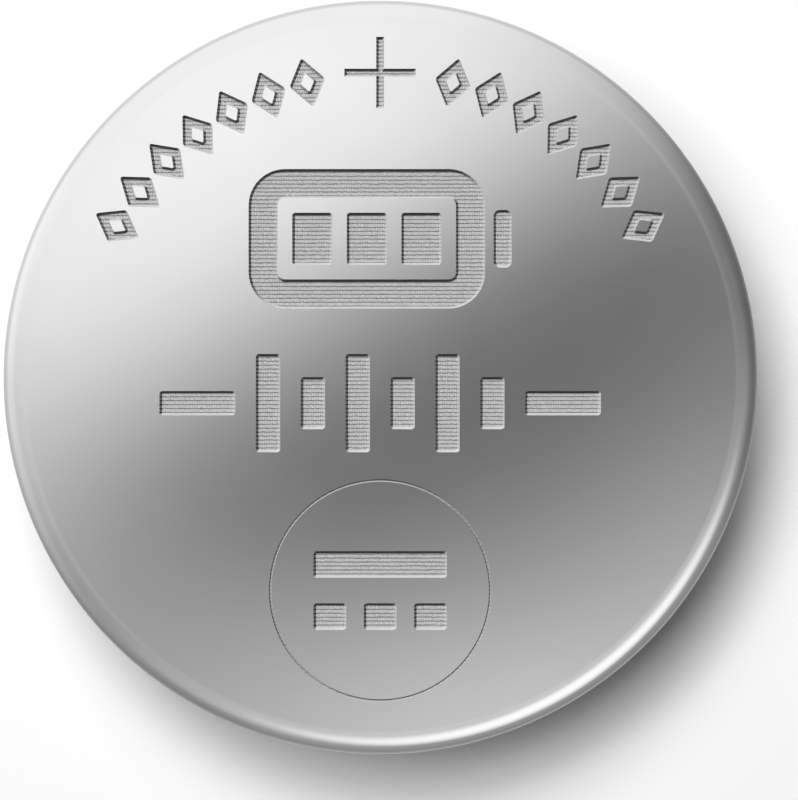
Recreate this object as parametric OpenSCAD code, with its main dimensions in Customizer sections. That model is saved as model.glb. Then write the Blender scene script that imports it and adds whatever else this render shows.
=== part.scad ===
// Lithium coin cell, lying on its negative cap with the positive face up.
// Millimetres. The origin is the centre of the cap's contact face, and +Z runs up to the positive face.

/* [Cell] */
// Outside diameter of the cell
cell_d = 12.5; // [10:0.1:24.5]
// Height from the cap's contact face to the positive face
cell_h = 2.5; // [1.6:0.1:5.4]

/* [Positive can] */
// Sheet thickness of the can
can_sheet = 0.2; // [0.15:0.01:0.3]
// Outer radius of the shoulder between the positive face and the side wall
can_shoulder = 0.34; // [0.31:0.01:0.6]
// Outer radius of the crimp's curl
crimp_curl = 0.55; // [0.45:0.01:0.7]
// Angle that the crimp turns inwards from the side wall
crimp_turn = 75; // [65:1:85]
// Straight length of the lip at the end of the curl
crimp_lip = 0.25; // [0.1:0.01:0.3]
// Height of the lip's lowest edge over the cap's contact face
crimp_rise = 0.12; // [0.05:0.01:0.15]

/* [Negative cap] */
// Sheet thickness of the cap
cap_sheet = 0.2; // [0.15:0.01:0.24]
// Depth of the step from the contact face to the ledge
cap_step = 0.45; // [0.4:0.01:0.7]
// Width of the ledge between the step and the outside of the skirt
cap_ledge = 0.62; // [0.5:0.01:1]
// Outer radius of the cap's bends
cap_bend = 0.25; // [0.25:0.01:0.3]

/* [Sealing gasket] */
// Gasket wall between the can and the skirt of the cap
gasket_wall = 0.28; // [0.2:0.01:0.4]
// Gasket floor between the can and the edge of the skirt
gasket_floor = 0.25; // [0.15:0.01:0.4]
// Thickness of the gasket's leg inside the skirt
gasket_leg = 0.3; // [0.2:0.01:0.4]
// Width of the gasket that shows past the lip
gasket_show = 0.2; // [0.12:0.01:0.24]
// Height that the squeezed gasket stands up against the end of the lip
gasket_rise = 0.12; // [0.05:0.01:0.15]

/* [Electrodes] */
// Gap all round between the lithium disc and the step of the cap
lithium_gap = 0.6; // [0.1:0.05:1]
// Thickness of the separator
separator_t = 0.2; // [0.1:0.01:0.3]
// Gap all round between the separator and the skirt of the cap
separator_gap = 0.12; // [0.1:0.01:0.16]
// Gap all round between the cathode pellet and the gasket's leg
cathode_gap = 0.8; // [0.2:0.05:1.5]
// Chamfer on the edges of the cathode pellet
cathode_chamfer = 0.1; // [0.05:0.01:0.2]

/* [Current collector] */
// Thickness of the mesh
mesh_t = 0.1; // [0.05:0.01:0.15]
// Inset of the mesh's edge from the edge of the pellet
mesh_inset = 0.15; // [0:0.05:0.5]
// Width of the plain rim round the mesh
mesh_rim = 0.2; // [0.1:0.05:0.5]
// Length of one diamond of the mesh, from knuckle to knuckle
mesh_long = 1.1; // [0.8:0.05:2]
// Height of one diamond of the mesh, from knuckle to knuckle
mesh_short = 0.6; // [0.5:0.05:1]
// Width of the strands between the diamonds
mesh_strand = 0.14; // [0.08:0.01:0.2]

/* [Hidden] */

// Facets of a full turn and of a small round in a section
$fn = 128;
round_fn = 48;

// Can: inside wall, floor, and centre of the crimp's curl
cell_r = cell_d / 2;
can_in_r = cell_r - can_sheet;
can_floor_z = cell_h - can_sheet;
curl_r = cell_r - crimp_curl;
curl_z = crimp_rise + crimp_curl * sin(crimp_turn) + crimp_lip * cos(crimp_turn);

// Cap: skirt, step and ledge
skirt_out_r = can_in_r - gasket_wall;
skirt_in_r = skirt_out_r - cap_sheet;
skirt_end_z = can_floor_z - gasket_floor;
step_out_r = skirt_out_r - cap_ledge;
step_in_r = step_out_r - cap_sheet;
contact_r = step_out_r - cap_bend;
ledge_top_z = cap_step + cap_sheet;

// Stack between the cap's contact sheet and the can's floor
separator_r = skirt_in_r - separator_gap;
separator_top_z = ledge_top_z + separator_t;
leg_in_r = skirt_in_r - gasket_leg;
lithium_r = step_in_r - lithium_gap;
cathode_r = leg_in_r - cathode_gap;
mesh_z = can_floor_z - mesh_t;
mesh_r = cathode_r - mesh_inset;

// Part of a ring of sheet between two angles, centred on the bend
module bend(r_out, sheet, from, to) {
    reach = 2 * r_out;
    intersection() {
        difference() {
            circle(r_out, $fn = round_fn);
            circle(r_out - sheet, $fn = round_fn);
        }
        polygon([[0, 0], reach * [cos(from), sin(from)], reach * [cos(to), sin(to)]]);
    }
}

// Square from one corner to the opposite one
module area(low, high) {
    translate(low) square(high - low);
}

// Moves to the end of the curl, with +X across the lip from its inside to its outside and -Y along it
module at_lip() {
    translate([curl_r, curl_z]) rotate(-crimp_turn) children();
}

// Section of the can: face, shoulder, side wall, curl and lip
module can_section() {
    area([0, can_floor_z], [cell_r - can_shoulder, cell_h]);
    translate([cell_r - can_shoulder, cell_h - can_shoulder]) bend(can_shoulder, can_sheet, 0, 90);
    area([can_in_r, curl_z], [cell_r, cell_h - can_shoulder]);
    translate([curl_r, curl_z]) bend(crimp_curl, can_sheet, -crimp_turn, 0);
    at_lip() area([crimp_curl - can_sheet, -crimp_lip], [crimp_curl, 0]);
}

// Space that the can encloses, with its rounded corner at the floor
module can_space() {
    corner = can_shoulder - can_sheet;
    area([0, curl_z], [can_in_r - corner, can_floor_z]);
    area([0, curl_z], [can_in_r, can_floor_z - corner]);
    translate([can_in_r - corner, can_floor_z - corner]) circle(corner, $fn = round_fn);
}

// Section of the cap: contact face, step, ledge and skirt
module cap_section() {
    area([0, 0], [contact_r, cap_sheet]);
    translate([contact_r, cap_bend]) bend(cap_bend, cap_sheet, -90, 0);
    area([step_in_r, cap_bend], [step_out_r, ledge_top_z - cap_bend]);
    translate([step_in_r + cap_bend, ledge_top_z - cap_bend]) bend(cap_bend, cap_sheet, 90, 180);
    area([step_in_r + cap_bend, cap_step], [skirt_out_r - cap_bend, ledge_top_z]);
    translate([skirt_out_r - cap_bend, cap_step + cap_bend]) bend(cap_bend, cap_sheet, -90, 0);
    area([skirt_in_r, cap_step + cap_bend], [skirt_out_r, skirt_end_z]);
}

// The cap's section with all that its skirt encloses
module cap_filled() {
    cap_section();
    area([0, cap_step + cap_sheet / 2], [skirt_out_r - cap_sheet / 2, skirt_end_z]);
}

// Part of the gasket's section that is squeezed out past the lip, with a rounded corner
module gasket_bead() {
    base = crimp_curl - can_sheet;
    round_r = min(gasket_rise, gasket_show);
    at_lip() {
        area([0, -crimp_lip - gasket_show], [base + gasket_rise - round_r, -crimp_lip]);
        area([0, -crimp_lip - gasket_show + round_r], [base + gasket_rise, -crimp_lip]);
        translate([base + gasket_rise - round_r, -crimp_lip - gasket_show + round_r])
            circle(round_r, $fn = round_fn);
    }
}

// Section of the gasket: it fills what the can and the skirt of the cap leave, and wraps round the edge
// of the skirt
module gasket_section() {
    difference() {
        union() {
            intersection() {
                can_space();
                area([skirt_in_r, curl_z], [can_in_r, can_floor_z]);
            }
            translate([curl_r, curl_z]) bend(crimp_curl - can_sheet, crimp_curl - can_sheet, -crimp_turn, 0);
            at_lip() area([0, -crimp_lip], [crimp_curl - can_sheet, 0]);
            gasket_bead();
        }
        cap_filled();
        can_section();
    }
    area([leg_in_r, separator_top_z], [skirt_in_r, can_floor_z]);
}

// Drawn stainless cup with its rim crimped in under the cap
module positive_can() {
    color("silver") rotate_extrude() can_section();
}

// Stepped stainless cap, its skirt held in the gasket
module negative_cap() {
    color("lightsteelblue") rotate_extrude() cap_section();
}

// Polypropylene ring that insulates the cap and seals the crimp
module sealing_gasket() {
    color("darkslategray") rotate_extrude() gasket_section();
}

// Diamond opening of the mesh, centred on the origin
module diamond() {
    long = (mesh_long - mesh_strand) / 2;
    short = (mesh_short - mesh_strand) / 2;
    polygon([[-long, 0], [0, -short], [long, 0], [0, short]]);
}

// Expanded stainless mesh with a plain rim, flat against the floor of the can
module current_collector() {
    open_r = mesh_r - mesh_rim - mesh_long / 2;
    columns = ceil(mesh_r / mesh_long);
    rows = 2 * ceil(mesh_r / mesh_short);
    color("darkgray") translate([0, 0, mesh_z]) linear_extrude(mesh_t) difference() {
        circle(mesh_r);
        for (row = [-rows:rows], column = [-columns:columns]) {
            x = (column + (row % 2 == 0 ? 0 : 0.5)) * mesh_long;
            y = row * mesh_short / 2;
            if (norm([x, y]) < open_r) translate([x, y]) diamond();
        }
    }
}

// Pressed manganese dioxide pellet, chamfered at both edges
module cathode_pellet() {
    color("dimgray") rotate_extrude() polygon([
        [0, separator_top_z],
        [cathode_r - cathode_chamfer, separator_top_z],
        [cathode_r, separator_top_z + cathode_chamfer],
        [cathode_r, mesh_z - cathode_chamfer],
        [cathode_r - cathode_chamfer, mesh_z],
        [0, mesh_z]
    ]);
}

// Non-woven disc, its rim pinched between the gasket's leg and the ledge of the cap
module separator() {
    color("white") translate([0, 0, ledge_top_z]) cylinder(h = separator_t, r = separator_r);
}

// Lithium disc that fills the depth of the cap's recess
module lithium_anode() {
    color("gainsboro") translate([0, 0, cap_sheet]) cylinder(h = ledge_top_z - cap_sheet, r = lithium_r);
}

positive_can();
negative_cap();
sealing_gasket();
current_collector();
cathode_pellet();
separator();
lithium_anode();
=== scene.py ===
# Lithium coin cell on a white table, seen from straight above its positive face
import math

import bmesh
import bpy
from mathutils import Matrix, Vector


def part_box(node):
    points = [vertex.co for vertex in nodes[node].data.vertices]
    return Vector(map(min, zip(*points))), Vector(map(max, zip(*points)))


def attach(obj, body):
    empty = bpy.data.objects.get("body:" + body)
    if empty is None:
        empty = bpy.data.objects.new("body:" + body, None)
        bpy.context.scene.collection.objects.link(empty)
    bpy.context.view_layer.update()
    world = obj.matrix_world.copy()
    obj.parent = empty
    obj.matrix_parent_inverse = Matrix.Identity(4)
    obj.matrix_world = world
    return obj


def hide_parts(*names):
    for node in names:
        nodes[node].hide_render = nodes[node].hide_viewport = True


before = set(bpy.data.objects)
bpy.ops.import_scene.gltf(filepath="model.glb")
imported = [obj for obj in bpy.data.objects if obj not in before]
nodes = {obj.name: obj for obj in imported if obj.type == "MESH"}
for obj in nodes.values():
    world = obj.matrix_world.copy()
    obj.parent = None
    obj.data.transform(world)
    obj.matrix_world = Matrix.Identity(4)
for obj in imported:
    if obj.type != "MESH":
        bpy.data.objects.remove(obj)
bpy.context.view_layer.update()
mm = 0.001

# The cell as the frame gives it, in millimetres
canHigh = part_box("positive_can")[1]
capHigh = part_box("negative_cap")[1]
cell = {
    "radius": max(canHigh.x, canHigh.y) / mm,
    "top": canHigh.z / mm,
    "skirtRadius": max(capHigh.x, capHigh.y) / mm,
    "skirtEnd": capHigh.z / mm,
}
print("frame loaded:", cell)


# Camera, at the photograph's view and scale

photo = {
    "width": 798, "height": 800,              # pixels
    "discX": 380.3, "discY": 377.2,           # centre of the disc in the photograph
    "discRadius": 376.7,                      # its outline, which is the side wall
    "lens": 150, "sensor": 36,                # millimetres
    "nearest": 1, "furthest": 2000,           # millimetres that the camera sees between
}


def aimCamera(outlineZ):
    scale = cell["radius"] / photo["discRadius"]     # millimetres a pixel
    distance = photo["lens"] / photo["sensor"] * photo["width"] * scale
    cameraData = bpy.data.cameras.new("photoCamera")
    cameraData.lens = photo["lens"]
    cameraData.sensor_width = photo["sensor"]
    cameraData.sensor_fit = "HORIZONTAL"
    cameraData.clip_start = photo["nearest"] * mm
    cameraData.clip_end = photo["furthest"] * mm
    camera = bpy.data.objects.new("photoCamera", cameraData)
    camera.location = (
        (photo["width"] / 2 - photo["discX"]) * scale * mm,
        (photo["discY"] - photo["height"] / 2) * scale * mm,
        (outlineZ + distance) * mm,
    )
    bpy.context.scene.collection.objects.link(camera)
    bpy.context.scene.camera = camera


# Drawing aids: outlines are drawn in millimetres in the XZ plane and spun round the cell's axis

drawing = {
    "merge": 0.0005,                          # millimetres within which two corners are one
    "sharpAngle": 35,                         # degrees past which an edge is shaded sharp
}


def startPath(bm, x, z):
    return bmesh.ops.create_vert(bm, co=(x, 0, z))["vert"][0]


def lineTo(bm, vert, x, z):
    new = bmesh.ops.extrude_vert_indiv(bm, verts=[vert])["verts"][0]
    new.co = (x, 0, z)
    return new


def arcTo(bm, vert, x, z, degrees, steps):
    # turns the end of the path round (x, z), clockwise in the section as drawn
    turned = bmesh.ops.spin(bm, geom=[vert], cent=(x, 0, z), axis=(0, 1, 0),
                            angle=math.radians(degrees), steps=steps)
    return [g for g in turned["geom_last"] if isinstance(g, bmesh.types.BMVert)][0]


def spinPath(bm, steps):
    bmesh.ops.spin(bm, geom=bm.verts[:] + bm.edges[:], cent=(0, 0, 0), axis=(0, 0, 1),
                   angle=math.tau, steps=steps, use_merge=True)
    bmesh.ops.remove_doubles(bm, verts=bm.verts[:], dist=drawing["merge"])
    bmesh.ops.recalc_face_normals(bm, faces=bm.faces[:])
    for face in bm.faces:
        face.smooth = True
    for edge in bm.edges:
        if len(edge.link_faces) == 2 and edge.calc_face_angle() > math.radians(drawing["sharpAngle"]):
            edge.smooth = False


def finishPiece(bm, name, node, materials):
    # millimetres become metres, and the piece takes the place of its CAD node
    bmesh.ops.scale(bm, vec=(mm, mm, mm), verts=bm.verts[:])
    mesh = bpy.data.meshes.new(name)
    bm.to_mesh(mesh)
    bm.free()
    for material in materials:
        mesh.materials.append(material)
    piece = bpy.data.objects.new(name, mesh)
    bpy.context.scene.collection.objects.link(piece)
    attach(piece, "root")
    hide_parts(node)
    mesh.calc_loop_triangles()
    print(name, len(mesh.loop_triangles), "triangles")


# Materials

colourA, colourB, colourOut = 6, 7, 2          # a Mix node's sockets when it mixes colours
floatA, floatB = 2, 3                          # and when it mixes numbers
noiseRange = (0.3, 0.7)                        # the values that noise mostly has


def toLinear(hexColour):
    values = [int(hexColour[i:i + 2], 16) / 255 for i in (1, 3, 5)]
    return [v / 12.92 if v <= 0.04045 else ((v + 0.055) / 1.055) ** 2.4 for v in values] + [1]


def addNode(material, kind, inputs={}, **settings):
    new = material.node_tree.nodes.new(kind)
    for key, value in settings.items():
        setattr(new, key, value)
    for key, value in inputs.items():
        if isinstance(value, bpy.types.NodeSocket):
            material.node_tree.links.new(value, new.inputs[key])
        else:
            new.inputs[key].default_value = value
    return new


def startMaterial(name, **shader):
    # a material with its principled shader set, and object coordinates in millimetres
    material = bpy.data.materials.new(name)
    material.use_nodes = True
    principled = material.node_tree.nodes["Principled BSDF"]
    for key, value in shader.items():
        principled.inputs[key].default_value = value
    place = addNode(material, "ShaderNodeTexCoord")
    scaled = addNode(material, "ShaderNodeMapping", {"Vector": place.outputs["Object"],
                                                     "Scale": (1 / mm, 1 / mm, 1 / mm)})
    return material, principled, scaled.outputs["Vector"]


canFinish = {
    "colours": ("#CFCFCF", "#CCCDCC"), "roughness": (0.128, 0.132),
    "cloudsPerMm": 0.9, "cloudMm": 0.00006,    # clouds, and how far the sheet waves with them
    "linesPerMm": 18, "lineMm": 0.0004,        # drawing lines on the walls, and their depth
}
capFinish = {
    "colours": ("#CFCFCF", "#C9CAC9"), "roughness": (0.2, 0.24),
    "cloudsPerMm": 0.7, "cloudMm": 0.0004,
    "linesPerMm": 18, "lineMm": 0.0006,
}
drawnLines = {
    "upright": 0.1, "level": 0.5,              # rise of the normal where they are full, and where they end
    "stretch": 0.03,                           # scale along the wall, so that they run up it
}


def satinStainless(name, finish):
    # stainless strip, bright rolled and deep drawn: an even satin, with faint clouds on the faces and
    # fine lines on the walls that ran through the die
    material, principled, place = startMaterial(name, Metallic=1.0)
    cloud = addNode(material, "ShaderNodeTexNoise", {
        "Vector": place, "Scale": finish["cloudsPerMm"], "Detail": 3.0, "Roughness": 0.5})
    tone = addNode(material, "ShaderNodeMix", {
        "Factor": cloud.outputs["Fac"], colourA: toLinear(finish["colours"][0]),
        colourB: toLinear(finish["colours"][1])}, data_type="RGBA")
    rough = addNode(material, "ShaderNodeMapRange", {
        "Value": cloud.outputs["Fac"], "From Min": noiseRange[0], "From Max": noiseRange[1],
        "To Min": finish["roughness"][0], "To Max": finish["roughness"][1]})
    soft = addNode(material, "ShaderNodeBump", {
        "Height": cloud.outputs["Fac"], "Distance": finish["cloudMm"] * mm})
    normal = addNode(material, "ShaderNodeTexCoord").outputs["Normal"]
    facing = addNode(material, "ShaderNodeSeparateXYZ", {"Vector": normal})
    level = addNode(material, "ShaderNodeMath", {0: facing.outputs["Z"]}, operation="ABSOLUTE")
    wall = addNode(material, "ShaderNodeMapRange", {
        "Value": level.outputs[0], "From Min": drawnLines["upright"], "From Max": drawnLines["level"],
        "To Min": 1.0, "To Max": 0.0})
    drawn = addNode(material, "ShaderNodeMapping", {
        "Vector": place, "Scale": (1, 1, drawnLines["stretch"])})
    lines = addNode(material, "ShaderNodeTexNoise", {
        "Vector": drawn.outputs["Vector"], "Scale": finish["linesPerMm"], "Detail": 3.0})
    deep = addNode(material, "ShaderNodeMath", {
        0: lines.outputs["Fac"], 1: wall.outputs["Result"]}, operation="MULTIPLY")
    fine = addNode(material, "ShaderNodeBump", {
        "Height": deep.outputs[0], "Distance": finish["lineMm"] * mm, "Normal": soft.outputs["Normal"]})
    link = material.node_tree.links.new
    link(tone.outputs[colourOut], principled.inputs["Base Color"])
    link(rough.outputs["Result"], principled.inputs["Roughness"])
    link(fine.outputs["Normal"], principled.inputs["Normal"])
    return material


markFloor = {
    # the second colour is painted shade, mixed in where the floor is deep
    "colours": ("#D6D6D6", "#6C6C6C"), "metallic": 0.2, "roughness": 0.55,
    "wanderPerMm": 20, "wander": 0.5,          # the rows waver, by this many rows
    "valley": (0.02, 0.24), "valleyDepth": 0.5,   # middle and edge of a valley, in rows
    "tooth": 0.04, "toothDepth": 1.1,          # millimetres from tooth to tooth along a row
    "slant": 0.6, "shift": 0.37,               # teeth that a row slants by, and steps on from row to row
    "specklePerMm": 26, "speckleDepth": 0.3,
    "depthMm": 0.006,
}


def engravedStainless():
    # the floor of a mark: rows of slanted teeth that the tool left, which scatter light as rough metal
    # does; its colour is darker where the relief is deep, painted shade in the thin valleys between the rows
    # and between the teeth
    rows = markFloor
    material, principled, place = startMaterial("engravedStainless", Metallic=rows["metallic"],
                                                Roughness=rows["roughness"])
    axes = addNode(material, "ShaderNodeSeparateXYZ", {"Vector": place})
    wander = addNode(material, "ShaderNodeTexNoise", {
        "Vector": place, "Scale": rows["wanderPerMm"], "Detail": 2.0})
    speckle = addNode(material, "ShaderNodeTexNoise", {
        "Vector": place, "Scale": rows["specklePerMm"], "Detail": 1.0})
    even = addNode(material, "ShaderNodeMath", {
        0: axes.outputs["Y"], 1: 1 / marks["rowPitch"], 2: -rows["wander"] / 2}, operation="MULTIPLY_ADD")
    row = addNode(material, "ShaderNodeMath", {
        0: wander.outputs["Fac"], 1: rows["wander"], 2: even.outputs[0]}, operation="MULTIPLY_ADD")
    apart = addNode(material, "ShaderNodeMath", {0: row.outputs[0], 1: 0.5}, operation="PINGPONG")
    valley = addNode(material, "ShaderNodeMapRange", {
        "Value": apart.outputs[0], "From Min": rows["valley"][0], "From Max": rows["valley"][1],
        "To Min": rows["valleyDepth"], "To Max": 0.0}, interpolation_type="SMOOTHSTEP")
    number = addNode(material, "ShaderNodeMath", {0: row.outputs[0]}, operation="FLOOR")
    across = addNode(material, "ShaderNodeMath", {
        0: axes.outputs["X"], 1: 1 / rows["tooth"], 2: speckle.outputs["Fac"]}, operation="MULTIPLY_ADD")
    slanted = addNode(material, "ShaderNodeMath", {
        0: row.outputs[0], 1: rows["slant"], 2: across.outputs[0]}, operation="MULTIPLY_ADD")
    shifted = addNode(material, "ShaderNodeMath", {
        0: number.outputs[0], 1: rows["shift"], 2: slanted.outputs[0]}, operation="MULTIPLY_ADD")
    tooth = addNode(material, "ShaderNodeMath", {0: shifted.outputs[0], 1: 0.5}, operation="PINGPONG")
    notched = addNode(material, "ShaderNodeMath", {
        0: tooth.outputs[0], 1: rows["toothDepth"], 2: valley.outputs["Result"]}, operation="MULTIPLY_ADD")
    depth = addNode(material, "ShaderNodeMath", {
        0: speckle.outputs["Fac"], 1: rows["speckleDepth"],
        2: notched.outputs[0]}, operation="MULTIPLY_ADD")
    # painted shade: the tone darkens with depth, in the valleys and between the teeth, and at random with
    # the speckle
    tone = addNode(material, "ShaderNodeMix", {
        "Factor": depth.outputs[0], colourA: toLinear(rows["colours"][0]),
        colourB: toLinear(rows["colours"][1])}, data_type="RGBA")
    bump = addNode(material, "ShaderNodeBump", {
        "Height": depth.outputs[0], "Distance": rows["depthMm"] * mm}, invert=True)
    link = material.node_tree.links.new
    link(tone.outputs[colourOut], principled.inputs["Base Color"])
    link(bump.outputs["Normal"], principled.inputs["Normal"])
    return material


# the wall's colours are painted light: the dark one is painted shade on walls that face away from the upper
# left, the bright one a painted highlight on walls that face it
markWall = {
    "colours": ("#202020", "#DFDFDF"), "metallic": 0.1, "roughness": 0.5,
    "upperLeft": (-0.7, 0.7, 0),               # the way the painted light comes from
    "turn": (-0.35, 0.2),                      # how far a dark wall faces that way, and how far a bright one
    "notch": 0.36, "notchEdges": (0.08, 0.4),  # share of the tone for the notches, and their edges in rows
    "gritPerMm": 40, "gritMm": 0.002,
}


def frostedPaintedLightWall():
    # the rough wall of a mark: walls that face away from the upper left are painted dark as shade, and those
    # facing it painted bright as lit; the tool's rows end as notches in the walls that run across them,
    # painted dark at the valleys
    material, principled, place = startMaterial("frostedPaintedLightWall", Metallic=markWall["metallic"],
                                                Roughness=markWall["roughness"])
    normal = addNode(material, "ShaderNodeTexCoord").outputs["Normal"]
    facing = addNode(material, "ShaderNodeVectorMath", {
        0: normal, 1: markWall["upperLeft"]}, operation="DOT_PRODUCT")
    # painted light: 1 where a wall faces the upper left, 0 where it faces away
    paintedLight = addNode(material, "ShaderNodeMapRange", {
        "Value": facing.outputs["Value"], "From Min": markWall["turn"][0], "From Max": markWall["turn"][1]})
    sideways = addNode(material, "ShaderNodeSeparateXYZ", {"Vector": normal})
    across = addNode(material, "ShaderNodeMath", {0: sideways.outputs["X"]}, operation="ABSOLUTE")
    share = addNode(material, "ShaderNodeMath", {
        0: across.outputs[0], 1: markWall["notch"]}, operation="MULTIPLY")
    axes = addNode(material, "ShaderNodeSeparateXYZ", {"Vector": place})
    row = addNode(material, "ShaderNodeMath", {
        0: axes.outputs["Y"], 1: 1 / marks["rowPitch"]}, operation="MULTIPLY")
    apart = addNode(material, "ShaderNodeMath", {0: row.outputs[0], 1: 0.5}, operation="PINGPONG")
    notch = addNode(material, "ShaderNodeMapRange", {
        "Value": apart.outputs[0], "From Min": markWall["notchEdges"][0],
        "From Max": markWall["notchEdges"][1]}, interpolation_type="SMOOTHSTEP")
    bright = addNode(material, "ShaderNodeMix", {
        "Factor": share.outputs[0], floatA: paintedLight.outputs["Result"],
        floatB: notch.outputs["Result"]}, data_type="FLOAT")
    tone = addNode(material, "ShaderNodeMix", {
        "Factor": bright.outputs[0], colourA: toLinear(markWall["colours"][0]),
        colourB: toLinear(markWall["colours"][1])}, data_type="RGBA")
    grit = addNode(material, "ShaderNodeTexNoise", {
        "Vector": place, "Scale": markWall["gritPerMm"], "Detail": 2.0})
    bump = addNode(material, "ShaderNodeBump", {
        "Height": grit.outputs["Fac"], "Distance": markWall["gritMm"] * mm})
    link = material.node_tree.links.new
    link(tone.outputs[colourOut], principled.inputs["Base Color"])
    link(bump.outputs["Normal"], principled.inputs["Normal"])
    return material


gasketFinish = {
    "colours": ("#23262B", "#2E3238"), "ior": 1.49, "roughness": (0.34, 0.5),
    "flowPerMm": 1.5, "flowMm": 0.004,         # flow of the melt, and how far the skin waves with it
}


def mouldedPolypropylene():
    # natural moulded polypropylene, tinted dark: waxy, with a soft even sheen
    finish = gasketFinish
    material, principled, place = startMaterial("mouldedPolypropylene", IOR=finish["ior"])
    flow = addNode(material, "ShaderNodeTexNoise", {
        "Vector": place, "Scale": finish["flowPerMm"], "Detail": 3.0})
    tone = addNode(material, "ShaderNodeMix", {
        "Factor": flow.outputs["Fac"], colourA: toLinear(finish["colours"][0]),
        colourB: toLinear(finish["colours"][1])}, data_type="RGBA")
    rough = addNode(material, "ShaderNodeMapRange", {
        "Value": flow.outputs["Fac"], "To Min": finish["roughness"][0], "To Max": finish["roughness"][1]})
    bump = addNode(material, "ShaderNodeBump", {
        "Height": flow.outputs["Fac"], "Distance": finish["flowMm"] * mm})
    link = material.node_tree.links.new
    link(tone.outputs[colourOut], principled.inputs["Base Color"])
    link(rough.outputs["Result"], principled.inputs["Roughness"])
    link(bump.outputs["Normal"], principled.inputs["Normal"])
    return material


pelletFinish = {"colours": ("#19191A", "#2C2C2E"), "roughness": 0.85, "gritPerMm": 14.0, "gritMm": 0.01}


def pressedManganeseDioxide():
    # black powder pressed to a pellet: matt, with a fine grit
    finish = pelletFinish
    material, principled, place = startMaterial("pressedManganeseDioxide", Roughness=finish["roughness"])
    grit = addNode(material, "ShaderNodeTexNoise", {
        "Vector": place, "Scale": finish["gritPerMm"], "Detail": 4.0})
    tone = addNode(material, "ShaderNodeMix", {
        "Factor": grit.outputs["Fac"], colourA: toLinear(finish["colours"][0]),
        colourB: toLinear(finish["colours"][1])}, data_type="RGBA")
    bump = addNode(material, "ShaderNodeBump", {
        "Height": grit.outputs["Fac"], "Distance": finish["gritMm"] * mm})
    link = material.node_tree.links.new
    link(tone.outputs[colourOut], principled.inputs["Base Color"])
    link(bump.outputs["Normal"], principled.inputs["Normal"])
    return material


separatorFinish = {"colours": ("#F1F0EC", "#DCDAD2"), "roughness": 0.9, "fibresPerMm": 9.0, "fibreMm": 0.02}


def nonWovenPolypropylene():
    # non-woven separator: white, matt, fibres that cross at random
    finish = separatorFinish
    material, principled, place = startMaterial("nonWovenPolypropylene", Roughness=finish["roughness"])
    fibres = addNode(material, "ShaderNodeTexVoronoi", {
        "Vector": place, "Scale": finish["fibresPerMm"]}, feature="DISTANCE_TO_EDGE")
    tone = addNode(material, "ShaderNodeMix", {
        "Factor": fibres.outputs["Distance"], colourA: toLinear(finish["colours"][0]),
        colourB: toLinear(finish["colours"][1])}, data_type="RGBA")
    bump = addNode(material, "ShaderNodeBump", {
        "Height": fibres.outputs["Distance"], "Distance": finish["fibreMm"] * mm})
    link = material.node_tree.links.new
    link(tone.outputs[colourOut], principled.inputs["Base Color"])
    link(bump.outputs["Normal"], principled.inputs["Normal"])
    return material


lithiumFinish = {"colours": ("#B9BBC0", "#8F9196"), "roughness": (0.35, 0.6), "filmPerMm": 1.2}


def punchedLithium():
    # lithium foil, punched: soft grey metal, dulled by its film
    finish = lithiumFinish
    material, principled, place = startMaterial("punchedLithium", Metallic=1.0)
    film = addNode(material, "ShaderNodeTexNoise", {
        "Vector": place, "Scale": finish["filmPerMm"], "Detail": 5.0})
    tone = addNode(material, "ShaderNodeMix", {
        "Factor": film.outputs["Fac"], colourA: toLinear(finish["colours"][0]),
        colourB: toLinear(finish["colours"][1])}, data_type="RGBA")
    rough = addNode(material, "ShaderNodeMapRange", {
        "Value": film.outputs["Fac"], "To Min": finish["roughness"][0], "To Max": finish["roughness"][1]})
    link = material.node_tree.links.new
    link(tone.outputs[colourOut], principled.inputs["Base Color"])
    link(rough.outputs["Result"], principled.inputs["Roughness"])
    return material


# Positive can: drawn cup with stamped marks on its face and the rim crimped in below

can = {
    "sheet": 0.2, "shoulder": 0.34,            # sheet, and the bend at the face
    "curl": 0.55, "curlTurn": 75,              # crimp, its outer radius and its angle
    "lip": 0.25, "lipRise": 0.12,              # straight lip, and its height over the table
    "edge": 0.03, "edgeSteps": 4,              # rounding of the lip's cut edge
    "flatRing": 0.06,                          # plain ring that keeps the face's shading level
    "steps": 256, "shoulderSteps": 14, "curlSteps": 16,
}

marks = {
    "corner": 0.05, "cornerSteps": 6,          # radius of the corners
    "largeCorner": 0.3,                        # past this radius a corner has twice as many steps
    # width and depth of each step down, and how far it leans to the lower right
    "walls": [(0.003, 0.003, 0), (0.035, 0.067, 0.003)],
    "rowPitch": 0.065, "rowHeight": 0.005,     # rows that the tool left on the floors
    "rowSteep": 0.28,                          # share of a row that faces down the photograph
    "groove": [(0.003, 0.003, 0), (0.015, 0.045, 0)],   # the ring is a groove with no floor
}

plus = {"y": 5.02, "span": 1.18, "stroke": 0.13}
arcs = {"radius": 5.0, "middles": (127, 53), "count": 7, "pitch": 7.7,
        "width": 0.61, "height": 0.84, "stroke": 0.155}
batterySign = {"y": 2.28, "width": 3.9, "height": 2.3, "stroke": 0.48, "corner": 0.6,
               "nubWidth": 0.3, "nubHeight": 0.95, "nubCorner": 0.1, "gap": 0.14,
               "bars": 3, "barGap": 0.24}
platesSign = {"y": -0.43, "width": 7.28, "stroke": 0.4, "plates": 6, "gap": 0.34,
              "long": 1.62, "short": 0.86}
ringSign = {"y": -3.52, "radius": 1.815, "groove": 0.04, "steps": 128,
            "bar": 2.2, "stroke": 0.44, "gap": 0.42, "dash": 0.54}


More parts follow.
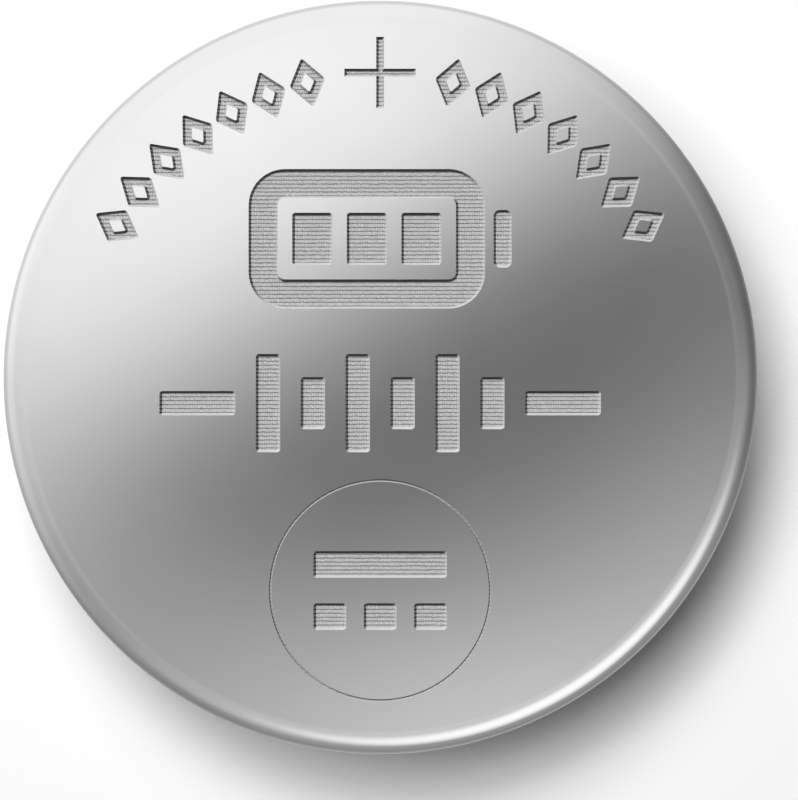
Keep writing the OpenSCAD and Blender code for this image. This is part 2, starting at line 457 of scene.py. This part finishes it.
def placeRegion(bm, before, x, y, degrees=0):
    # moves what was drawn since before, and gives its faces
    faces = [face for face in bm.faces if face not in before]
    verts = list({vert for face in faces for vert in face.verts})
    turn = Matrix.Rotation(math.radians(degrees), 3, "Z")
    bmesh.ops.rotate(bm, cent=(0, 0, 0), matrix=turn, verts=verts)
    bmesh.ops.translate(bm, vec=(x, y, cell["top"]), verts=verts)
    return faces


def drawBar(bm, width, height, corner):
    verts = bmesh.ops.create_grid(bm, x_segments=1, y_segments=1, size=0.5)["verts"]
    bmesh.ops.scale(bm, vec=(width, height, 1), verts=verts)
    steps = marks["cornerSteps"] * (2 if corner > marks["largeCorner"] else 1)
    bmesh.ops.bevel(bm, geom=verts, offset=corner, offset_type="OFFSET", profile=0.5, affect="VERTICES",
                    segments=steps, material=-1)


def barRegion(bm, x, y, width, height, corner=marks["corner"]):
    before = set(bm.faces)
    drawBar(bm, width, height, corner)
    return placeRegion(bm, before, x, y)


def frameRegion(bm, x, y, width, height, stroke, corner):
    before = set(bm.faces)
    drawBar(bm, width, height, corner)
    inside = [face for face in bm.faces if face not in before]
    bmesh.ops.inset_region(bm, faces=inside, thickness=stroke, use_even_offset=True, use_boundary=True)
    bmesh.ops.delete(bm, geom=inside, context="FACES_ONLY")
    return placeRegion(bm, before, x, y)


def lozengeRegion(bm, x, y, width, height, stroke, degrees):
    # an outer and an inner lozenge, each with its own round corners, bridged to a band of even width
    before = set(bm.faces)
    edges = []
    narrow = 1 - 2 * stroke * math.hypot(width, height) / (width * height)
    for scale, corner in ((1, marks["corner"]), (narrow, marks["corner"] / 2)):
        verts = bmesh.ops.create_circle(bm, cap_ends=True, segments=4, radius=0.5)["verts"]
        bmesh.ops.scale(bm, vec=(width * scale, height * scale, 1), verts=verts)
        bmesh.ops.bevel(bm, geom=verts, offset=corner, offset_type="OFFSET", profile=0.5, affect="VERTICES",
                        segments=marks["cornerSteps"], material=-1)
        drawn = [face for face in bm.faces if face not in before]
        edges += {edge for face in drawn for edge in face.edges}
        bmesh.ops.delete(bm, geom=drawn, context="FACES_ONLY")
    band = bmesh.ops.bridge_loops(bm, edges=edges)["faces"]
    bm.normal_update()
    bmesh.ops.reverse_faces(bm, faces=[face for face in band if face.normal.z < 0])
    return placeRegion(bm, before, x, y, degrees)


def plusRegion(bm, x, y, span, stroke):
    before = set(bm.faces)
    square = bmesh.ops.create_grid(bm, x_segments=1, y_segments=1, size=stroke / 2)["verts"]
    for edge in list({edge for vert in square for edge in vert.link_edges}):
        outward = ((edge.verts[0].co + edge.verts[1].co) / 2).normalized()
        arm = bmesh.ops.extrude_edge_only(bm, edges=[edge])["geom"]
        bmesh.ops.translate(bm, vec=outward * (span - stroke) / 2,
                            verts=[g for g in arm if isinstance(g, bmesh.types.BMVert)])
    return placeRegion(bm, before, x, y)


def ringRegion(bm, x, y, radius, stroke, steps):
    before = set(bm.faces)
    loops = [bmesh.ops.create_circle(bm, radius=radius + side * stroke / 2, segments=steps)["verts"]
             for side in (-1, 1)]
    edges = {edge for loop in loops for vert in loop for edge in vert.link_edges}
    bmesh.ops.bridge_loops(bm, edges=list(edges))
    return placeRegion(bm, before, x, y)


def drawMarks(bm):
    # polarity cross, two arcs of open lozenges, a battery sign, the cell's circuit sign, and a ring
    # with the sign for direct current; gives the regions with a floor, and the groove
    floors = plusRegion(bm, 0, plus["y"], plus["span"], plus["stroke"])
    for middle in arcs["middles"]:
        for i in range(arcs["count"]):
            angle = middle + (i - (arcs["count"] - 1) / 2) * arcs["pitch"]
            turn = math.radians(angle)
            floors += lozengeRegion(bm, arcs["radius"] * math.cos(turn), arcs["radius"] * math.sin(turn),
                                    arcs["width"], arcs["height"], arcs["stroke"], angle - 90)

    sign = batterySign
    left = -(sign["width"] + sign["gap"] + sign["nubWidth"]) / 2
    middle = left + sign["width"] / 2
    floors += frameRegion(bm, middle, sign["y"], sign["width"], sign["height"], sign["stroke"],
                          sign["corner"])
    floors += barRegion(bm, -left - sign["nubWidth"] / 2, sign["y"], sign["nubWidth"], sign["nubHeight"],
                        sign["nubCorner"])
    inner = sign["width"] - 2 * sign["stroke"] - sign["barGap"]
    pitch = inner / sign["bars"]
    for i in range(sign["bars"]):
        x = middle + (i - (sign["bars"] - 1) / 2) * pitch
        floors += barRegion(bm, x, sign["y"], pitch - sign["barGap"],
                            sign["height"] - 2 * sign["stroke"] - 2 * sign["barGap"])

    sign = platesSign
    step = sign["stroke"] + sign["gap"]
    lead = (sign["width"] - sign["plates"] * step - sign["gap"]) / 2
    for i in range(sign["plates"]):
        x = (i - (sign["plates"] - 1) / 2) * step
        floors += barRegion(bm, x, sign["y"], sign["stroke"], sign["short"] if i % 2 else sign["long"])
    for side in (-1, 1):
        floors += barRegion(bm, side * (sign["width"] - lead) / 2, sign["y"], lead, sign["stroke"])

    sign = ringSign
    groove = ringRegion(bm, 0, sign["y"], sign["radius"], sign["groove"], sign["steps"])
    lift = (sign["stroke"] + sign["gap"]) / 2
    floors += barRegion(bm, 0, sign["y"] + lift, sign["bar"], sign["stroke"])
    for i in (-1, 0, 1):
        x = i * (sign["bar"] - sign["dash"]) / 2
        floors += barRegion(bm, x, sign["y"] - lift, sign["dash"], sign["stroke"])
    return floors, groove


def sinkMarks(bm, faces, steps):
    walls = []
    for width, depth, lean in steps:
        walls += bmesh.ops.inset_region(bm, faces=faces, thickness=width, depth=-depth,
                                        use_even_offset=True, use_boundary=True)["faces"]
        corners = {vert for face in faces for vert in face.verts}
        bmesh.ops.translate(bm, vec=(lean, -lean, 0), verts=list(corners))
    for face in walls + faces:
        face.smooth = False
        face.material_index = 1


def rowHeight(y):
    # the floor falls gently to the north of each ridge, and steeply to the south of it
    place = (y / marks["rowPitch"] + marks["rowSteep"] / 2) % 1
    steep = marks["rowSteep"]
    rise = place / steep if place < steep else (1 - place) / (1 - steep)
    return (rise - 0.5) * marks["rowHeight"]


def cutRows(bm, floors):
    # the floor of each mark gets the ridges that the tool left
    pieces = set(floors)
    low = min(vert.co.y for face in floors for vert in face.verts)
    high = max(vert.co.y for face in floors for vert in face.verts)
    pitch, half = marks["rowPitch"], marks["rowSteep"] / 2
    least = 2 * drawing["merge"]
    rows = range(math.floor(low / pitch), math.ceil(high / pitch) + 1)
    for y in [(i + side * half) * pitch for i in rows for side in (-1, 1)]:
        crossed = [face for face in pieces if min(v.co.y for v in face.verts) < y - least
                   and max(v.co.y for v in face.verts) > y + least]
        if crossed:
            geom = list({g for face in crossed for g in (*face.verts, *face.edges)}) + crossed
            cut = bmesh.ops.bisect_plane(bm, geom=geom, dist=drawing["merge"], plane_co=(0, y, 0),
                                         plane_no=(0, 1, 0))
            pieces |= {g for g in cut["geom"] if isinstance(g, bmesh.types.BMFace)}
    pieces = {face for face in pieces if face.is_valid}
    for vert in {vert for face in pieces for vert in face.verts}:
        vert.co.z += rowHeight(vert.co.y)
    return pieces


def lipFrame():
    # centre of the crimp's curl, and the directions across the lip to its outside and along it to its end
    turn = math.radians(can["curlTurn"])
    height = can["lipRise"] + can["curl"] * math.sin(turn) + can["lip"] * math.cos(turn)
    return (Vector((cell["radius"] - can["curl"], height)), Vector((math.cos(turn), -math.sin(turn))),
            Vector((-math.sin(turn), -math.cos(turn))))


def makeCan(sheetMaterial, wallMaterial, floorMaterial):
    top, radius, sheet = cell["top"], cell["radius"], can["sheet"]
    faceRadius = radius - can["shoulder"]
    centre, across, along = lipFrame()
    rounding = can["edge"]

    bm = bmesh.new()
    vert = startPath(bm, faceRadius - can["flatRing"], top)
    vert = lineTo(bm, vert, faceRadius, top)
    vert = arcTo(bm, vert, faceRadius, top - can["shoulder"], 90, can["shoulderSteps"])
    vert = lineTo(bm, vert, radius, centre.y)
    vert = arcTo(bm, vert, *centre, can["curlTurn"], can["curlSteps"])
    vert = lineTo(bm, vert, *(centre + across * can["curl"] + along * (can["lip"] - rounding)))
    vert = arcTo(bm, vert, *(centre + across * (can["curl"] - rounding) + along * (can["lip"] - rounding)),
                 90, can["edgeSteps"])
    vert = lineTo(bm, vert, *(centre + across * (can["curl"] - sheet) + along * can["lip"]))
    vert = lineTo(bm, vert, *(centre + across * (can["curl"] - sheet)))
    vert = arcTo(bm, vert, *centre, -can["curlTurn"], can["curlSteps"])
    vert = lineTo(bm, vert, radius - sheet, top - can["shoulder"])
    vert = arcTo(bm, vert, faceRadius, top - can["shoulder"], -90, can["shoulderSteps"] // 2)
    lineTo(bm, vert, 0, top - sheet)
    spinPath(bm, can["steps"])

    rim = [edge for edge in bm.edges if edge.is_boundary]
    floors, groove = drawMarks(bm)
    outlines = list({edge for face in floors + groove for edge in face.edges if edge.is_boundary})
    filled = bmesh.ops.triangle_fill(bm, use_beauty=True, edges=rim + outlines, normal=(0, 0, 1))["geom"]
    for face in filled:
        if isinstance(face, bmesh.types.BMFace):
            face.smooth = True
            if face.normal.z < 0:
                face.normal_flip()
    for edge in outlines:
        edge.smooth = False
    sinkMarks(bm, groove, marks["groove"])
    sinkMarks(bm, floors, marks["walls"])
    for face in cutRows(bm, floors):
        face.material_index = 2
        face.smooth = False
    print("can edges that are open:", len([edge for edge in bm.edges if not edge.is_manifold]))
    finishPiece(bm, "stampedCan", "positive_can", [sheetMaterial, wallMaterial, floorMaterial])


# Negative cap and gasket, which show below

cap = {"sheet": 0.2, "step": 0.45, "ledge": 0.62, "bend": 0.25, "bendSteps": 10, "steps": 256}
gasket = {
    "leg": 0.3, "legEnd": 0.85,                # leg inside the skirt, and the height where it ends
    "show": 0.2, "rise": 0.12,                 # bead past the lip, its width and how far it stands up
    "bendSteps": 10, "steps": 256,
}


def makeCap(material):
    sheet, bend, step = cap["sheet"], cap["bend"], cap["step"]
    skirt, end = cell["skirtRadius"], cell["skirtEnd"]
    stepOut = skirt - cap["ledge"]
    stepIn = stepOut - sheet
    ledgeTop = step + sheet

    bm = bmesh.new()
    vert = startPath(bm, 0, 0)
    vert = lineTo(bm, vert, stepOut - bend, 0)
    vert = arcTo(bm, vert, stepOut - bend, bend, -90, cap["bendSteps"])
    vert = lineTo(bm, vert, stepOut, ledgeTop - bend)
    vert = arcTo(bm, vert, stepIn + bend, ledgeTop - bend, 90, cap["bendSteps"] // 2)
    vert = lineTo(bm, vert, skirt - bend, step)
    vert = arcTo(bm, vert, skirt - bend, step + bend, -90, cap["bendSteps"])
    vert = lineTo(bm, vert, skirt, end)
    vert = lineTo(bm, vert, skirt - sheet, end)
    vert = lineTo(bm, vert, skirt - sheet, step + bend)
    vert = arcTo(bm, vert, skirt - bend, step + bend, 90, cap["bendSteps"] // 2)
    vert = lineTo(bm, vert, stepIn + bend, ledgeTop)
    vert = arcTo(bm, vert, stepIn + bend, ledgeTop - bend, -90, cap["bendSteps"])
    vert = lineTo(bm, vert, stepIn, bend)
    vert = arcTo(bm, vert, stepOut - bend, bend, 90, cap["bendSteps"] // 2)
    lineTo(bm, vert, 0, sheet)
    spinPath(bm, cap["steps"])
    finishPiece(bm, "drawnCap", "negative_cap", [material])


def makeGasket(material):
    # it fills what the can and the cap's skirt leave, and stands out past the lip as a rounded bead
    outer, canFloor = cell["radius"] - can["sheet"], cell["top"] - can["sheet"]
    corner = can["shoulder"] - can["sheet"]
    skirt, end = cell["skirtRadius"], cell["skirtEnd"]
    bend, inside = cap["bend"], skirt - cap["sheet"]
    centre, across, along = lipFrame()
    hollow = can["curl"] - can["sheet"]
    rise, lip = gasket["rise"], can["lip"]
    beadEnd = centre + across * hollow + along * (lip + gasket["show"])
    foot = beadEnd + across * (cap["step"] - beadEnd.y) / across.y

    bm = bmesh.new()
    vert = startPath(bm, inside - gasket["leg"], gasket["legEnd"])
    vert = lineTo(bm, vert, inside - gasket["leg"], canFloor)
    vert = lineTo(bm, vert, outer - corner, canFloor)
    vert = arcTo(bm, vert, outer - corner, canFloor - corner, 90, gasket["bendSteps"])
    vert = lineTo(bm, vert, outer, centre.y)
    vert = arcTo(bm, vert, *centre, can["curlTurn"], gasket["bendSteps"])
    vert = lineTo(bm, vert, *(centre + across * hollow + along * lip))
    vert = lineTo(bm, vert, *(centre + across * (hollow + rise) + along * lip))
    vert = lineTo(bm, vert, *(centre + across * (hollow + rise) + along * (lip + gasket["show"] - rise)))
    vert = arcTo(bm, vert, *(beadEnd - along * rise), 90, gasket["bendSteps"])
    vert = lineTo(bm, vert, *foot)
    vert = lineTo(bm, vert, skirt - bend, cap["step"])
    vert = arcTo(bm, vert, skirt - bend, cap["step"] + bend, -90, gasket["bendSteps"])
    vert = lineTo(bm, vert, skirt, end)
    vert = lineTo(bm, vert, inside, end)
    vert = lineTo(bm, vert, inside, gasket["legEnd"])
    lineTo(bm, vert, inside - gasket["leg"], gasket["legEnd"])
    spinPath(bm, gasket["steps"])
    print("gasket edges that are open:", len([edge for edge in bm.edges if not edge.is_manifold]))
    finishPiece(bm, "mouldedGasket", "sealing_gasket", [material])


# Table, its size in millimetres

tableTop = {"size": 1200, "colour": "#F7F7F7", "roughness": 0.9}


def makeTable():
    bm = bmesh.new()
    bmesh.ops.create_grid(bm, x_segments=1, y_segments=1, size=tableTop["size"] / 2 * mm)
    mesh = bpy.data.meshes.new("table")
    bm.to_mesh(mesh)
    bm.free()
    table = bpy.data.objects.new("table", mesh)
    shader = {"Roughness": tableTop["roughness"], "Base Color": toLinear(tableTop["colour"])}
    mesh.materials.append(startMaterial("whiteTable", **shader)[0])
    bpy.context.scene.collection.objects.link(table)
    table.visible_glossy = False               # the metal mirrors the room, not the table


# Light: two softboxes light the table. The metal mirrors a soft room: panels overhead, walls that are
# bright on the upper left, a soft glow on the lower right and a faint one on the left, and what the table
# sends back from below

lights = {
    "height": 150,                             # millimetres, from the table to each lamp
    # for the table and the shadow: direction, angle off the zenith, width, depth, radiance
    "boxes": [
        ("keyBox", 110, 33, 85, 58, 7.5),
        ("topBox", 138, 19, 112, 71, 6.65),
    ],
    # panels overhead, where it is dark: direction, slope where each starts and where it is full, tone
    "panels": [(120, 0.009, 0.076, 1.65), (-56, 0.0, 0.184, 1.4), (-108, 0.036, 0.085, 0.44)],
    # even tone of the walls, and soft walls over it: direction, degrees to each side where one is full and
    # where it ends, tone
    "wallTone": 0.3,
    "walls": [(120, 25, 97, 1.1), (287, 15, 69, 0.62), (342, 0, 30, 0.15), (212, 0, 33, 0.18)],
    "join": (7.8, 5.0),                        # degrees off the zenith where walls and panels meet
    # glows: direction, angle off the zenith, tone, and the angle where each ends
    "glows": [(300, 47, 0.69, 38), (189, 90, 0.17, 50)],
    # heights here are those of a direction, from -1 straight down to 1 straight up
    # share left under the horizon, and the heights between which it falls to that
    "below": (0.66, -0.55, 0.0),
    # share lost away from a direction, that direction, and the slopes where the loss starts and ends
    "dark": (0.5, 119, -0.9, 0.59),
    "darkHeights": (0.02, 0.76),               # heights between which that loss sets in
    # what the table sends back, and the heights between which it fades
    "bounce": (0.15, -0.8, -0.2),
}


def addAreaLight(name, width, depth, radiance, matrix):
    # radiance is what a mirror would show; the lamp's power follows from it and the area
    data = bpy.data.lights.new(name, "AREA")
    data.shape = "RECTANGLE"
    data.size = width * mm
    data.size_y = depth * mm
    data.energy = radiance * math.pi * width * depth * mm * mm
    lamp = bpy.data.objects.new(name, data)
    lamp.matrix_world = matrix
    lamp.visible_camera = False
    lamp.visible_glossy = False                # the metal mirrors the room instead
    bpy.context.scene.collection.objects.link(lamp)


def lightCell():
    height = lights["height"]
    for name, azimuth, tilt, width, depth, radiance in lights["boxes"]:
        turn = Matrix.Rotation(math.radians(azimuth - 90), 4, "Z")
        lean = Matrix.Rotation(math.radians(-tilt), 4, "X")
        place = Matrix.Translation(Vector((0, 0, height)) * mm)
        addAreaLight(name, width, depth, radiance, turn @ lean @ place)


def makeRoom():
    # the room is seen only by what mirrors it
    world = bpy.data.worlds.new("room")
    world.use_nodes = True
    bpy.context.scene.world = world
    world.cycles_visibility.diffuse = False
    look = addNode(world, "ShaderNodeTexCoord").outputs["Generated"]
    height = addNode(world, "ShaderNodeSeparateXYZ", {"Vector": look}).outputs["Z"]

    overhead = 0.0
    for azimuth, start, full, tone in lights["panels"]:
        turn = math.radians(azimuth)
        side = addNode(world, "ShaderNodeVectorMath", {
            0: look, 1: (math.cos(turn), math.sin(turn), 0)}, operation="DOT_PRODUCT")
        panel = addNode(world, "ShaderNodeMapRange", {
            "Value": side.outputs["Value"], "From Min": start, "From Max": full,
            "To Max": tone}, interpolation_type="SMOOTHSTEP")
        overhead = addNode(world, "ShaderNodeMath", {
            0: overhead, 1: panel.outputs["Result"]}, operation="ADD").outputs[0]

    # the walls depend only on the compass direction of what looks at them
    flat = addNode(world, "ShaderNodeVectorMath", {0: look, 1: (1, 1, 0)}, operation="MULTIPLY")
    compass = addNode(world, "ShaderNodeVectorMath", {0: flat.outputs["Vector"]}, operation="NORMALIZE")
    around = lights["wallTone"]
    for azimuth, full, end, tone in lights["walls"]:
        turn = math.radians(azimuth)
        side = addNode(world, "ShaderNodeVectorMath", {
            0: compass.outputs["Vector"], 1: (math.cos(turn), math.sin(turn), 0)}, operation="DOT_PRODUCT")
        wall = addNode(world, "ShaderNodeMapRange", {
            "Value": side.outputs["Value"], "From Min": math.cos(math.radians(end)),
            "From Max": math.cos(math.radians(full)), "To Max": tone}, interpolation_type="SMOOTHSTEP")
        around = addNode(world, "ShaderNodeMath", {
            0: around, 1: wall.outputs["Result"]}, operation="ADD").outputs[0]

    left, low, high = lights["below"]
    lower = addNode(world, "ShaderNodeMapRange", {
        "Value": height, "From Min": low, "From Max": high,
        "To Min": left, "To Max": 1.0}, interpolation_type="SMOOTHSTEP")
    loss, azimuth, low, high = lights["dark"]
    turn = math.radians(azimuth)
    side = addNode(world, "ShaderNodeVectorMath", {
        0: look, 1: (math.cos(turn), math.sin(turn), 0)}, operation="DOT_PRODUCT")
    away = addNode(world, "ShaderNodeMapRange", {
        "Value": side.outputs["Value"], "From Min": low, "From Max": high,
        "To Min": loss, "To Max": 0.0}, interpolation_type="SMOOTHSTEP")
    low, high = lights["darkHeights"]
    under = addNode(world, "ShaderNodeMapRange", {
        "Value": height, "From Min": low, "From Max": high,
        "To Min": 1.0, "To Max": 0.0}, interpolation_type="SMOOTHSTEP")
    lost = addNode(world, "ShaderNodeMath", {
        0: away.outputs["Result"], 1: under.outputs["Result"]}, operation="MULTIPLY")
    kept = addNode(world, "ShaderNodeMath", {0: 1.0, 1: lost.outputs[0]}, operation="SUBTRACT")
    shaded = addNode(world, "ShaderNodeMath", {
        0: lower.outputs["Result"], 1: kept.outputs[0]}, operation="MULTIPLY")
    tone, low, high = lights["bounce"]
    bounce = addNode(world, "ShaderNodeMapRange", {
        "Value": height, "From Min": low, "From Max": high,
        "To Min": tone, "To Max": 0.0}, interpolation_type="SMOOTHSTEP")
    walls = addNode(world, "ShaderNodeMath", {
        0: around, 1: shaded.outputs[0],
        2: bounce.outputs["Result"]}, operation="MULTIPLY_ADD")

    outer, inner = [math.cos(math.radians(angle)) for angle in lights["join"]]
    join = addNode(world, "ShaderNodeMapRange", {
        "Value": height, "From Min": outer, "From Max": inner}, interpolation_type="SMOOTHSTEP")
    total = addNode(world, "ShaderNodeMix", {
        "Factor": join.outputs["Result"], floatA: walls.outputs[0],
        floatB: overhead}, data_type="FLOAT").outputs[0]
    for azimuth, tilt, tone, reach in lights["glows"]:
        turn, tilt = math.radians(azimuth), math.radians(tilt)
        middle = (math.sin(tilt) * math.cos(turn), math.sin(tilt) * math.sin(turn), math.cos(tilt))
        near = addNode(world, "ShaderNodeVectorMath", {0: look, 1: middle}, operation="DOT_PRODUCT")
        glow = addNode(world, "ShaderNodeMapRange", {
            "Value": near.outputs["Value"], "From Min": math.cos(math.radians(reach)),
            "From Max": 1.0, "To Max": tone}, interpolation_type="SMOOTHSTEP")
        total = addNode(world, "ShaderNodeMath", {
            0: total, 1: glow.outputs["Result"]}, operation="ADD").outputs[0]

    background = world.node_tree.nodes["Background"]
    background.inputs["Color"].default_value = (1, 1, 1, 1)
    world.node_tree.links.new(total, background.inputs["Strength"])
    bpy.context.scene.view_settings.view_transform = "Standard"


aimCamera(cell["top"] - can["shoulder"])
canSteel = satinStainless("satinStainlessCan", canFinish)
capSteel = satinStainless("satinStainlessCap", capFinish)
makeCan(canSteel, frostedPaintedLightWall(), engravedStainless())
makeCap(capSteel)
makeGasket(mouldedPolypropylene())
print("can, cap and gasket made")

for node, material in {
    "cathode_pellet": pressedManganeseDioxide(),
    "separator": nonWovenPolypropylene(),
    "lithium_anode": punchedLithium(),
    "current_collector": capSteel,
}.items():
    nodes[node].data.materials.clear()
    nodes[node].data.materials.append(material)

makeTable()
lightCell()
makeRoom()
print("lights set")
